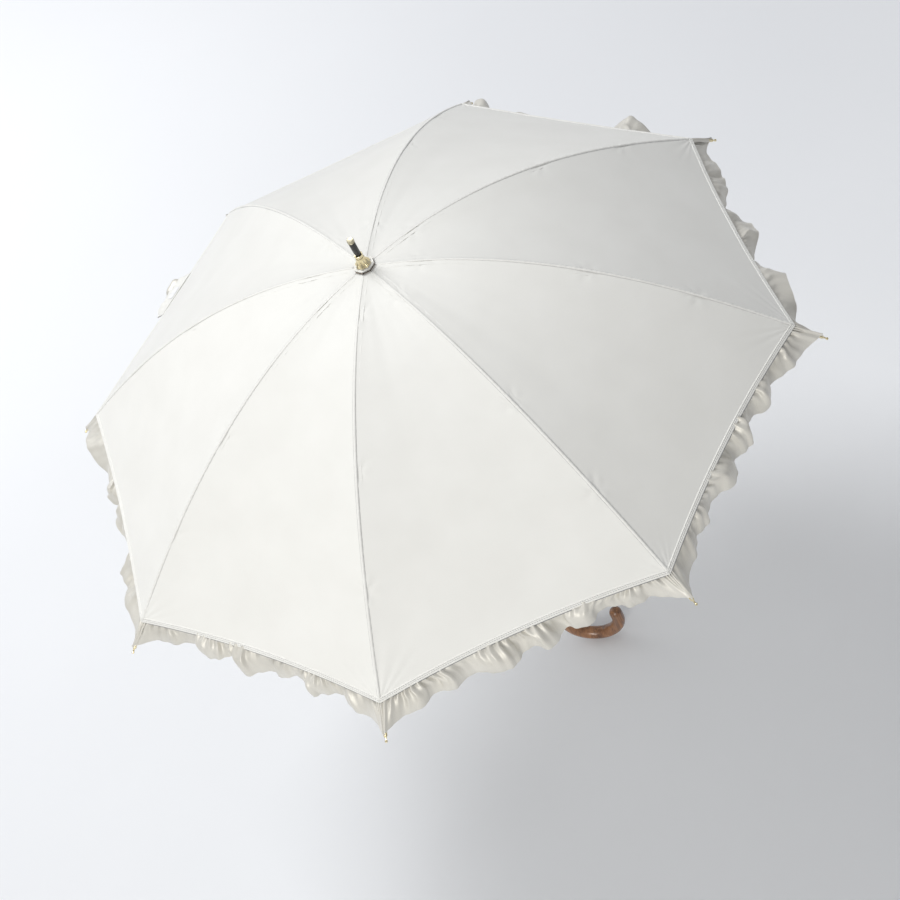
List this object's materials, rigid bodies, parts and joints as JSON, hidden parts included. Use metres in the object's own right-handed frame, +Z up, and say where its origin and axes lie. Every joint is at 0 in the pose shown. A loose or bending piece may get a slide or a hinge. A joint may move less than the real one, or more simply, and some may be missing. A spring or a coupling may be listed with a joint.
{
  "type": "parasol",
  "caption": "Long stick parasol: plain ivory cloth canopy with a gathered frill round its hem, gold ferrule and rib tips, dark shaft and a wooden crook handle.",
  "frame": {"origin": "on the shaft's axis, level with the lowest point of the crook handle", "axes": "+Z up the shaft towards the ferrule, +X from the shaft towards the crook's free end, the canopy open"},
  "size_m": [0.8746, 0.8746, 0.81],
  "materials": {
    "canopy_cloth": "smooth satin-like weave",
    "frill_cloth": "thin gathered cloth, its back a little greyer",
    "band_cloth": "smooth folded band",
    "gold_plate": "polished gold-coloured plating",
    "black_rib": "satin black enamel",
    "dark_shaft": "satin dark enamel",
    "bright_wire": "drawn wire",
    "black_plastic": "moulded, semi-gloss",
    "handle_wood": "lacquered"
  },
  "bodies": {
    "shaft": {"shaft_tube": "dark_shaft", "ferrule_cap": "gold_plate", "ferrule_sleeve": "black_plastic", "crown_cap": "gold_plate", "crown_rosette": "canopy_cloth", "top_notch": "black_plastic", "handle": "handle_wood", "handle_collar": "gold_plate"},
    "runner": {"runner": "black_plastic"},
    "upper_catch": {"upper_catch": "bright_wire"},
    "lower_catch": {"lower_catch": "bright_wire"},
    "rib_inner_1": {"rib_inner_1": "black_rib"},
    "rib_outer_1": {"rib_outer_1": "black_rib", "rib_tip_1": "gold_plate"},
    "stretcher_1": {"stretcher_1": "black_rib"},
    "rib_inner_2": {"rib_inner_2": "black_rib"},
    "rib_outer_2": {"rib_outer_2": "black_rib", "rib_tip_2": "gold_plate"},
    "stretcher_2": {"stretcher_2": "black_rib"},
    "rib_inner_3": {"rib_inner_3": "black_rib"},
    "rib_outer_3": {"rib_outer_3": "black_rib", "rib_tip_3": "gold_plate"},
    "stretcher_3": {"stretcher_3": "black_rib"},
    "rib_inner_4": {"rib_inner_4": "black_rib"},
    "rib_outer_4": {"rib_outer_4": "black_rib", "rib_tip_4": "gold_plate"},
    "stretcher_4": {"stretcher_4": "black_rib"},
    "rib_inner_5": {"rib_inner_5": "black_rib"},
    "rib_outer_5": {"rib_outer_5": "black_rib", "rib_tip_5": "gold_plate"},
    "stretcher_5": {"stretcher_5": "black_rib"},
    "rib_inner_6": {"rib_inner_6": "black_rib"},
    "rib_outer_6": {"rib_outer_6": "black_rib", "rib_tip_6": "gold_plate"},
    "stretcher_6": {"stretcher_6": "black_rib"},
    "rib_inner_7": {"rib_inner_7": "black_rib"},
    "rib_outer_7": {"rib_outer_7": "black_rib", "rib_tip_7": "gold_plate"},
    "stretcher_7": {"stretcher_7": "black_rib"},
    "rib_inner_8": {"rib_inner_8": "black_rib"},
    "rib_outer_8": {"rib_outer_8": "black_rib", "rib_tip_8": "gold_plate"},
    "stretcher_8": {"stretcher_8": "black_rib"},
    "gore_1": {"gore_1": "canopy_cloth"},
    "skirt_1": {"frill_1": "frill_cloth"},
    "gore_2": {"gore_2": "canopy_cloth"},
    "skirt_2": {"frill_2": "frill_cloth"},
    "gore_3": {"gore_3": "canopy_cloth"},
    "skirt_3": {"frill_3": "frill_cloth"},
    "gore_4": {"gore_4": "canopy_cloth"},
    "skirt_4": {"frill_4": "frill_cloth", "tie_strap": "band_cloth"},
    "gore_5": {"gore_5": "canopy_cloth"},
    "skirt_5": {"frill_5": "frill_cloth"},
    "gore_6": {"gore_6": "canopy_cloth"},
    "skirt_6": {"frill_6": "frill_cloth"},
    "gore_7": {"gore_7": "canopy_cloth"},
    "skirt_7": {"frill_7": "frill_cloth"},
    "gore_8": {"gore_8": "canopy_cloth"},
    "skirt_8": {"frill_8": "frill_cloth"}
  },
  "joints": [
    {"name": "runner_slide", "type": "slide", "parent": "shaft", "child": "runner", "axis": [0, 0, 1], "range_m": [-0.31861, 0]},
    {"name": "rib_hinge_1", "type": "hinge", "parent": "shaft", "child": "rib_inner_1", "pos_m": [0.009, 0, 0.7649], "axis": [0, 1, 0], "range_deg": [0, 72.25]},
    {"name": "rib_flex_1", "type": "hinge", "parent": "rib_inner_1", "child": "rib_outer_1", "pos_m": [0.22002, 0, 0.71175], "axis": [0, 1, 0], "range_deg": [-20.45, 0]},
    {"name": "stretcher_pivot_1", "type": "hinge", "parent": "rib_inner_1", "child": "stretcher_1", "pos_m": [0.218, 0, 0.70773], "axis": [0, 1, 0], "range_deg": [-144.45, 0]},
    {"name": "rib_hinge_2", "type": "hinge", "parent": "shaft", "child": "rib_inner_2", "pos_m": [0.00636, 0.00636, 0.7649], "axis": [-0.7071, 0.7071, 0], "range_deg": [0, 72.25]},
    {"name": "rib_flex_2", "type": "hinge", "parent": "rib_inner_2", "child": "rib_outer_2", "pos_m": [0.15558, 0.15558, 0.71175], "axis": [-0.7071, 0.7071, 0], "range_deg": [-20.45, 0]},
    {"name": "stretcher_pivot_2", "type": "hinge", "parent": "rib_inner_2", "child": "stretcher_2", "pos_m": [0.15415, 0.15415, 0.70773], "axis": [-0.7071, 0.7071, 0], "range_deg": [-144.45, 0]},
    {"name": "rib_hinge_3", "type": "hinge", "parent": "shaft", "child": "rib_inner_3", "pos_m": [0, 0.009, 0.7649], "axis": [-1, 0, 0], "range_deg": [0, 72.25]},
    {"name": "rib_flex_3", "type": "hinge", "parent": "rib_inner_3", "child": "rib_outer_3", "pos_m": [0, 0.22002, 0.71175], "axis": [-1, 0, 0], "range_deg": [-20.45, 0]},
    {"name": "stretcher_pivot_3", "type": "hinge", "parent": "rib_inner_3", "child": "stretcher_3", "pos_m": [0, 0.218, 0.70773], "axis": [-1, 0, 0], "range_deg": [-144.45, 0]},
    {"name": "rib_hinge_4", "type": "hinge", "parent": "shaft", "child": "rib_inner_4", "pos_m": [-0.00636, 0.00636, 0.7649], "axis": [-0.7071, -0.7071, 0], "range_deg": [0, 72.25]},
    {"name": "rib_flex_4", "type": "hinge", "parent": "rib_inner_4", "child": "rib_outer_4", "pos_m": [-0.15558, 0.15558, 0.71175], "axis": [-0.7071, -0.7071, 0], "range_deg": [-20.45, 0]},
    {"name": "stretcher_pivot_4", "type": "hinge", "parent": "rib_inner_4", "child": "stretcher_4", "pos_m": [-0.15415, 0.15415, 0.70773], "axis": [-0.7071, -0.7071, 0], "range_deg": [-144.45, 0]},
    {"name": "rib_hinge_5", "type": "hinge", "parent": "shaft", "child": "rib_inner_5", "pos_m": [-0.009, 0, 0.7649], "axis": [0, -1, 0], "range_deg": [0, 72.25]},
    {"name": "rib_flex_5", "type": "hinge", "parent": "rib_inner_5", "child": "rib_outer_5", "pos_m": [-0.22002, 0, 0.71175], "axis": [0, -1, 0], "range_deg": [-20.45, 0]},
    {"name": "stretcher_pivot_5", "type": "hinge", "parent": "rib_inner_5", "child": "stretcher_5", "pos_m": [-0.218, 0, 0.70773], "axis": [0, -1, 0], "range_deg": [-144.45, 0]},
    {"name": "rib_hinge_6", "type": "hinge", "parent": "shaft", "child": "rib_inner_6", "pos_m": [-0.00636, -0.00636, 0.7649], "axis": [0.7071, -0.7071, 0], "range_deg": [0, 72.25]},
    {"name": "rib_flex_6", "type": "hinge", "parent": "rib_inner_6", "child": "rib_outer_6", "pos_m": [-0.15558, -0.15558, 0.71175], "axis": [0.7071, -0.7071, 0], "range_deg": [-20.45, 0]},
    {"name": "stretcher_pivot_6", "type": "hinge", "parent": "rib_inner_6", "child": "stretcher_6", "pos_m": [-0.15415, -0.15415, 0.70773], "axis": [0.7071, -0.7071, 0], "range_deg": [-144.45, 0]},
    {"name": "rib_hinge_7", "type": "hinge", "parent": "shaft", "child": "rib_inner_7", "pos_m": [0, -0.009, 0.7649], "axis": [1, 0, 0], "range_deg": [0, 72.25]},
    {"name": "rib_flex_7", "type": "hinge", "parent": "rib_inner_7", "child": "rib_outer_7", "pos_m": [0, -0.22002, 0.71175], "axis": [1, 0, 0], "range_deg": [-20.45, 0]},
    {"name": "stretcher_pivot_7", "type": "hinge", "parent": "rib_inner_7", "child": "stretcher_7", "pos_m": [0, -0.218, 0.70773], "axis": [1, 0, 0], "range_deg": [-144.45, 0]},
    {"name": "rib_hinge_8", "type": "hinge", "parent": "shaft", "child": "rib_inner_8", "pos_m": [0.00636, -0.00636, 0.7649], "axis": [0.7071, 0.7071, 0], "range_deg": [0, 72.25]},
    {"name": "rib_flex_8", "type": "hinge", "parent": "rib_inner_8", "child": "rib_outer_8", "pos_m": [0.15558, -0.15558, 0.71175], "axis": [0.7071, 0.7071, 0], "range_deg": [-20.45, 0]},
    {"name": "stretcher_pivot_8", "type": "hinge", "parent": "rib_inner_8", "child": "stretcher_8", "pos_m": [0.15415, -0.15415, 0.70773], "axis": [0.7071, 0.7071, 0], "range_deg": [-144.45, 0]},
    {"name": "gore_fold_1", "type": "hinge", "parent": "shaft", "child": "gore_1", "pos_m": [0.00768, 0.00318, 0.7649], "axis": [-0.3827, 0.9239, 0], "range_deg": [0, 71.21], "deforming": ["gore_1"]},
    {"name": "skirt_fold_1", "type": "hinge", "parent": "gore_1", "child": "skirt_1", "pos_m": [0.18888, 0.07823, 0.71426], "axis": [-0.3827, 0.9239, 0], "range_deg": [-21.48, 0], "deforming": ["frill_1"]},
    {"name": "gore_fold_2", "type": "hinge", "parent": "shaft", "child": "gore_2", "pos_m": [0.00318, 0.00768, 0.7649], "axis": [-0.9239, 0.3827, 0], "range_deg": [0, 71.21], "deforming": ["gore_2"]},
    {"name": "skirt_fold_2", "type": "hinge", "parent": "gore_2", "child": "skirt_2", "pos_m": [0.07823, 0.18888, 0.71426], "axis": [-0.9239, 0.3827, 0], "range_deg": [-21.48, 0], "deforming": ["frill_2"]},
    {"name": "gore_fold_3", "type": "hinge", "parent": "shaft", "child": "gore_3", "pos_m": [-0.00318, 0.00768, 0.7649], "axis": [-0.9239, -0.3827, 0], "range_deg": [0, 71.21], "deforming": ["gore_3"]},
    {"name": "skirt_fold_3", "type": "hinge", "parent": "gore_3", "child": "skirt_3", "pos_m": [-0.07823, 0.18888, 0.71426], "axis": [-0.9239, -0.3827, 0], "range_deg": [-21.48, 0], "deforming": ["frill_3"]},
    {"name": "gore_fold_4", "type": "hinge", "parent": "shaft", "child": "gore_4", "pos_m": [-0.00768, 0.00318, 0.7649], "axis": [-0.3827, -0.9239, 0], "range_deg": [0, 71.21], "deforming": ["gore_4"]},
    {"name": "skirt_fold_4", "type": "hinge", "parent": "gore_4", "child": "skirt_4", "pos_m": [-0.18888, 0.07823, 0.71426], "axis": [-0.3827, -0.9239, 0], "range_deg": [-21.48, 0], "deforming": ["frill_4", "tie_strap"]},
    {"name": "gore_fold_5", "type": "hinge", "parent": "shaft", "child": "gore_5", "pos_m": [-0.00768, -0.00318, 0.7649], "axis": [0.3827, -0.9239, 0], "range_deg": [0, 71.21], "deforming": ["gore_5"]},
    {"name": "skirt_fold_5", "type": "hinge", "parent": "gore_5", "child": "skirt_5", "pos_m": [-0.18888, -0.07823, 0.71426], "axis": [0.3827, -0.9239, 0], "range_deg": [-21.48, 0], "deforming": ["frill_5"]},
    {"name": "gore_fold_6", "type": "hinge", "parent": "shaft", "child": "gore_6", "pos_m": [-0.00318, -0.00768, 0.7649], "axis": [0.9239, -0.3827, 0], "range_deg": [0, 71.21], "deforming": ["gore_6"]},
    {"name": "skirt_fold_6", "type": "hinge", "parent": "gore_6", "child": "skirt_6", "pos_m": [-0.07823, -0.18888, 0.71426], "axis": [0.9239, -0.3827, 0], "range_deg": [-21.48, 0], "deforming": ["frill_6"]},
    {"name": "gore_fold_7", "type": "hinge", "parent": "shaft", "child": "gore_7", "pos_m": [0.00318, -0.00768, 0.7649], "axis": [0.9239, 0.3827, 0], "range_deg": [0, 71.21], "deforming": ["gore_7"]},
    {"name": "skirt_fold_7", "type": "hinge", "parent": "gore_7", "child": "skirt_7", "pos_m": [0.07823, -0.18888, 0.71426], "axis": [0.9239, 0.3827, 0], "range_deg": [-21.48, 0], "deforming": ["frill_7"]},
    {"name": "gore_fold_8", "type": "hinge", "parent": "shaft", "child": "gore_8", "pos_m": [0.00768, -0.00318, 0.7649], "axis": [0.3827, 0.9239, 0], "range_deg": [0, 71.21], "deforming": ["gore_8"]},
    {"name": "skirt_fold_8", "type": "hinge", "parent": "gore_8", "child": "skirt_8", "pos_m": [0.18888, -0.07823, 0.71426], "axis": [0.3827, 0.9239, 0], "range_deg": [-21.48, 0], "deforming": ["frill_8"]},
    {"name": "upper_catch_press", "type": "hinge", "parent": "shaft", "child": "upper_catch", "pos_m": [0.00222, 0.00092, 0.59176], "axis": [-0.3827, 0.9239, 0], "range_deg": [-7.5, 0], "stiffness_Nm_per_rad": 0.3},
    {"name": "lower_catch_press", "type": "hinge", "parent": "shaft", "child": "lower_catch", "pos_m": [0.00222, 0.00092, 0.29995], "axis": [-0.3827, 0.9239, 0], "range_deg": [-7.5, 0], "stiffness_Nm_per_rad": 0.3}
  ],
  "couplings": [
    {"joint": "rib_hinge_1", "follows": "runner_slide", "rad_per_m": -3.9552},
    {"joint": "rib_flex_1", "follows": "runner_slide", "rad_per_m": 1.1175},
    {"joint": "stretcher_pivot_1", "follows": "runner_slide", "rad_per_m": 7.9103},
    {"joint": "rib_hinge_2", "follows": "runner_slide", "rad_per_m": -3.9552},
    {"joint": "rib_flex_2", "follows": "runner_slide", "rad_per_m": 1.1175},
    {"joint": "stretcher_pivot_2", "follows": "runner_slide", "rad_per_m": 7.9103},
    {"joint": "rib_hinge_3", "follows": "runner_slide", "rad_per_m": -3.9552},
    {"joint": "rib_flex_3", "follows": "runner_slide", "rad_per_m": 1.1175},
    {"joint": "stretcher_pivot_3", "follows": "runner_slide", "rad_per_m": 7.9103},
    {"joint": "rib_hinge_4", "follows": "runner_slide", "rad_per_m": -3.9552},
    {"joint": "rib_flex_4", "follows": "runner_slide", "rad_per_m": 1.1175},
    {"joint": "stretcher_pivot_4", "follows": "runner_slide", "rad_per_m": 7.9103},
    {"joint": "rib_hinge_5", "follows": "runner_slide", "rad_per_m": -3.9552},
    {"joint": "rib_flex_5", "follows": "runner_slide", "rad_per_m": 1.1175},
    {"joint": "stretcher_pivot_5", "follows": "runner_slide", "rad_per_m": 7.9103},
    {"joint": "rib_hinge_6", "follows": "runner_slide", "rad_per_m": -3.9552},
    {"joint": "rib_flex_6", "follows": "runner_slide", "rad_per_m": 1.1175},
    {"joint": "stretcher_pivot_6", "follows": "runner_slide", "rad_per_m": 7.9103},
    {"joint": "rib_hinge_7", "follows": "runner_slide", "rad_per_m": -3.9552},
    {"joint": "rib_flex_7", "follows": "runner_slide", "rad_per_m": 1.1175},
    {"joint": "stretcher_pivot_7", "follows": "runner_slide", "rad_per_m": 7.9103},
    {"joint": "rib_hinge_8", "follows": "runner_slide", "rad_per_m": -3.9552},
    {"joint": "rib_flex_8", "follows": "runner_slide", "rad_per_m": 1.1175},
    {"joint": "stretcher_pivot_8", "follows": "runner_slide", "rad_per_m": 7.9103},
    {"joint": "gore_fold_1", "follows": "runner_slide", "rad_per_m": -3.8982},
    {"joint": "skirt_fold_1", "follows": "runner_slide", "rad_per_m": 1.1739},
    {"joint": "gore_fold_2", "follows": "runner_slide", "rad_per_m": -3.8982},
    {"joint": "skirt_fold_2", "follows": "runner_slide", "rad_per_m": 1.1739},
    {"joint": "gore_fold_3", "follows": "runner_slide", "rad_per_m": -3.8982},
    {"joint": "skirt_fold_3", "follows": "runner_slide", "rad_per_m": 1.1739},
    {"joint": "gore_fold_4", "follows": "runner_slide", "rad_per_m": -3.8982},
    {"joint": "skirt_fold_4", "follows": "runner_slide", "rad_per_m": 1.1739},
    {"joint": "gore_fold_5", "follows": "runner_slide", "rad_per_m": -3.8982},
    {"joint": "skirt_fold_5", "follows": "runner_slide", "rad_per_m": 1.1739},
    {"joint": "gore_fold_6", "follows": "runner_slide", "rad_per_m": -3.8982},
    {"joint": "skirt_fold_6", "follows": "runner_slide", "rad_per_m": 1.1739},
    {"joint": "gore_fold_7", "follows": "runner_slide", "rad_per_m": -3.8982},
    {"joint": "skirt_fold_7", "follows": "runner_slide", "rad_per_m": 1.1739},
    {"joint": "gore_fold_8", "follows": "runner_slide", "rad_per_m": -3.8982},
    {"joint": "skirt_fold_8", "follows": "runner_slide", "rad_per_m": 1.1739}
  ]
}
